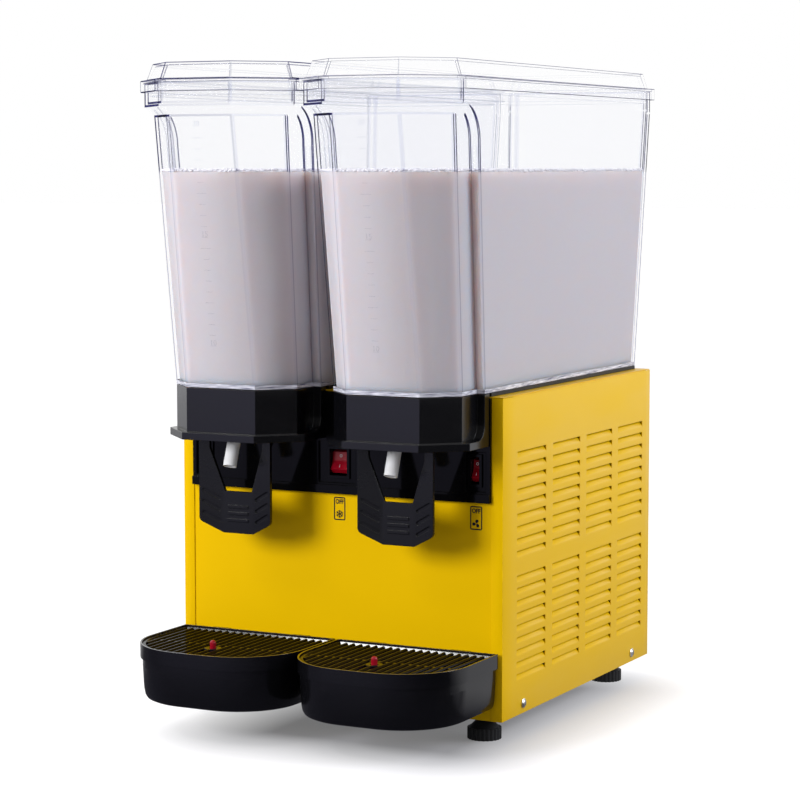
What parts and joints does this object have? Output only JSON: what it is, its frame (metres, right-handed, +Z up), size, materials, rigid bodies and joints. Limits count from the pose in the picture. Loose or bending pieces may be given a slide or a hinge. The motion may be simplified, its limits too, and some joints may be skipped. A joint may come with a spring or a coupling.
{
  "type": "cold drink dispenser",
  "caption": "Counter-top cold drink dispenser: louvred sheet cabinet with paired clear lidded tanks, push-lever taps, rocker switches and lift-off drip trays with grilles and floats.",
  "frame": {"origin": "under the middle of the whole, on the counter", "axes": "+Z up, the taps face -Y, +X to the right as seen from the front"},
  "size_m": [0.3784, 0.564, 0.6834],
  "materials": {
    "yellow_paint": "satin powder coat",
    "steel": "brushed",
    "black_gloss": "glossy moulding",
    "black_matte": "fine grain",
    "clear_plastic": "clear moulding",
    "red_plastic": "glossy moulding",
    "white_rubber": "smooth silicone",
    "white_plastic": "smooth moulding",
    "black_paint": "gloss paint",
    "grey_metal": "zinc grey",
    "rubber": "matt",
    "aluminium": "mill",
    "copper": "drawn"
  },
  "bodies": {
    "cabinet": {"base_plate": "steel", "front_panel": "yellow_paint", "side_panel_left": "yellow_paint", "side_panel_right": "yellow_paint", "rear_panel": "yellow_paint", "top_deck": "yellow_paint", "control_fascia": "black_gloss", "collar_left": "black_gloss", "collar_right": "black_gloss", "tank_seat_left": "black_matte", "tank_seat_right": "black_matte", "evaporator_left": "steel", "evaporator_right": "steel", "evaporator_seal_left": "white_rubber", "evaporator_seal_right": "white_rubber", "mixer_motor_left": "grey_metal", "mixer_motor_right": "grey_metal", "outlet_tube_left": "white_rubber", "outlet_tube_right": "white_rubber", "lever_pin_left": "steel", "lever_pin_right": "steel", "lever_spring_left": "steel", "lever_spring_right": "steel", "switch_body_left": "black_gloss", "switch_body_centre": "black_gloss", "switch_body_right": "black_gloss", "compressor": "black_paint", "compressor_mounts": "rubber", "condenser": "aluminium", "fan_shroud": "grey_metal", "fan_motor": "grey_metal", "filter_drier": "copper", "refrigerant_lines": "copper", "thermostat": "grey_metal", "panel_screws": "steel", "cord_gland": "black_matte"},
    "tank_left": {"tank_left": "clear_plastic"},
    "lid_left": {"lid_left": "clear_plastic"},
    "mixer_left": {"mixer_left": "white_plastic"},
    "drive_magnet_left": {"drive_magnet_left": "grey_metal"},
    "tap_lever_left": {"tap_lever_left": "black_gloss"},
    "drip_tray_left": {"drip_tray_left": "black_gloss"},
    "drip_grille_left": {"drip_grille_left": "black_matte"},
    "float_left": {"float_left": "red_plastic"},
    "tank_right": {"tank_right": "clear_plastic"},
    "lid_right": {"lid_right": "clear_plastic"},
    "mixer_right": {"mixer_right": "white_plastic"},
    "drive_magnet_right": {"drive_magnet_right": "grey_metal"},
    "tap_lever_right": {"tap_lever_right": "black_gloss"},
    "drip_tray_right": {"drip_tray_right": "black_gloss"},
    "drip_grille_right": {"drip_grille_right": "black_matte"},
    "float_right": {"float_right": "red_plastic"},
    "rocker_left": {"rocker_left": "red_plastic"},
    "rocker_centre": {"rocker_centre": "red_plastic"},
    "rocker_right": {"rocker_right": "red_plastic"},
    "fan_rotor": {"fan_rotor": "aluminium"},
    "foot_front_left": {"foot_front_left": "black_matte"},
    "foot_front_right": {"foot_front_right": "black_matte"},
    "foot_rear_left": {"foot_rear_left": "black_matte"},
    "foot_rear_right": {"foot_rear_right": "black_matte"}
  },
  "joints": [
    {"name": "tank_left_lift", "type": "slide", "parent": "cabinet", "child": "tank_left", "axis": [0, 0, 1], "range_m": [0, 0.16]},
    {"name": "lid_left_lift", "type": "slide", "parent": "tank_left", "child": "lid_left", "axis": [0, 0, 1], "range_m": [0, 0.12]},
    {"name": "drive_magnet_left_spin", "type": "hinge", "parent": "cabinet", "child": "drive_magnet_left", "pos_m": [-0.0925, -0.045, 0.341], "axis": [0, 0, 1], "continuous": true},
    {"name": "mixer_left_spin", "type": "hinge", "parent": "tank_left", "child": "mixer_left", "pos_m": [-0.0925, -0.045, 0.375], "axis": [0, 0, 1], "continuous": true},
    {"name": "tap_lever_left_push", "type": "hinge", "parent": "cabinet", "child": "tap_lever_left", "pos_m": [-0.0925, -0.164, 0.336], "axis": [1, 0, 0], "range_deg": [0, 12], "stiffness_Nm_per_rad": 1.2, "springref_deg": -20.05, "deforming": ["lever_spring_left"]},
    {"name": "drip_tray_left_lift", "type": "slide", "parent": "cabinet", "child": "drip_tray_left", "axis": [0, 0, 1], "range_m": [0, 0.05]},
    {"name": "drip_grille_left_lift", "type": "slide", "parent": "drip_tray_left", "child": "drip_grille_left", "axis": [0, 0, 1], "range_m": [0, 0.03]},
    {"name": "float_left_rise", "type": "slide", "parent": "drip_tray_left", "child": "float_left", "axis": [0, 0, 1], "range_m": [0, 0.008]},
    {"name": "tank_right_lift", "type": "slide", "parent": "cabinet", "child": "tank_right", "axis": [0, 0, 1], "range_m": [0, 0.16]},
    {"name": "lid_right_lift", "type": "slide", "parent": "tank_right", "child": "lid_right", "axis": [0, 0, 1], "range_m": [0, 0.12]},
    {"name": "drive_magnet_right_spin", "type": "hinge", "parent": "cabinet", "child": "drive_magnet_right", "pos_m": [0.0925, -0.045, 0.341], "axis": [0, 0, 1], "continuous": true},
    {"name": "mixer_right_spin", "type": "hinge", "parent": "tank_right", "child": "mixer_right", "pos_m": [0.0925, -0.045, 0.375], "axis": [0, 0, 1], "continuous": true},
    {"name": "tap_lever_right_push", "type": "hinge", "parent": "cabinet", "child": "tap_lever_right", "pos_m": [0.0925, -0.164, 0.336], "axis": [1, 0, 0], "range_deg": [0, 12], "stiffness_Nm_per_rad": 1.2, "springref_deg": -20.05, "deforming": ["lever_spring_right"]},
    {"name": "drip_tray_right_lift", "type": "slide", "parent": "cabinet", "child": "drip_tray_right", "axis": [0, 0, 1], "range_m": [0, 0.05]},
    {"name": "drip_grille_right_lift", "type": "slide", "parent": "drip_tray_right", "child": "drip_grille_right", "axis": [0, 0, 1], "range_m": [0, 0.03]},
    {"name": "float_right_rise", "type": "slide", "parent": "drip_tray_right", "child": "float_right", "axis": [0, 0, 1], "range_m": [0, 0.008]},
    {"name": "rocker_left_press", "type": "hinge", "parent": "cabinet", "child": "rocker_left", "pos_m": [-0.1564, -0.131, 0.2768], "axis": [1, 0, 0], "range_deg": [0, 32]},
    {"name": "rocker_centre_press", "type": "hinge", "parent": "cabinet", "child": "rocker_centre", "pos_m": [0.0012, -0.131, 0.2768], "axis": [1, 0, 0], "range_deg": [0, 32]},
    {"name": "rocker_right_press", "type": "hinge", "parent": "cabinet", "child": "rocker_right", "pos_m": [0.1564, -0.131, 0.2768], "axis": [1, 0, 0], "range_deg": [0, 32]},
    {"name": "fan_spin", "type": "hinge", "parent": "cabinet", "child": "fan_rotor", "pos_m": [-0.078, 0.192, 0.137], "axis": [0, 1, 0], "continuous": true},
    {"name": "foot_front_left_turn", "type": "hinge", "parent": "cabinet", "child": "foot_front_left", "pos_m": [-0.156, -0.115, 0.01], "axis": [0, 0, 1], "continuous": true},
    {"name": "foot_front_right_turn", "type": "hinge", "parent": "cabinet", "child": "foot_front_right", "pos_m": [0.156, -0.115, 0.01], "axis": [0, 0, 1], "continuous": true},
    {"name": "foot_rear_left_turn", "type": "hinge", "parent": "cabinet", "child": "foot_rear_left", "pos_m": [-0.156, 0.211, 0.01], "axis": [0, 0, 1], "continuous": true},
    {"name": "foot_rear_right_turn", "type": "hinge", "parent": "cabinet", "child": "foot_rear_right", "pos_m": [0.156, 0.211, 0.01], "axis": [0, 0, 1], "continuous": true}
  ],
  "couplings": [
    {"joint": "mixer_left_spin", "follows": "drive_magnet_left_spin", "ratio": 1},
    {"joint": "mixer_right_spin", "follows": "drive_magnet_right_spin", "ratio": 1}
  ]
}
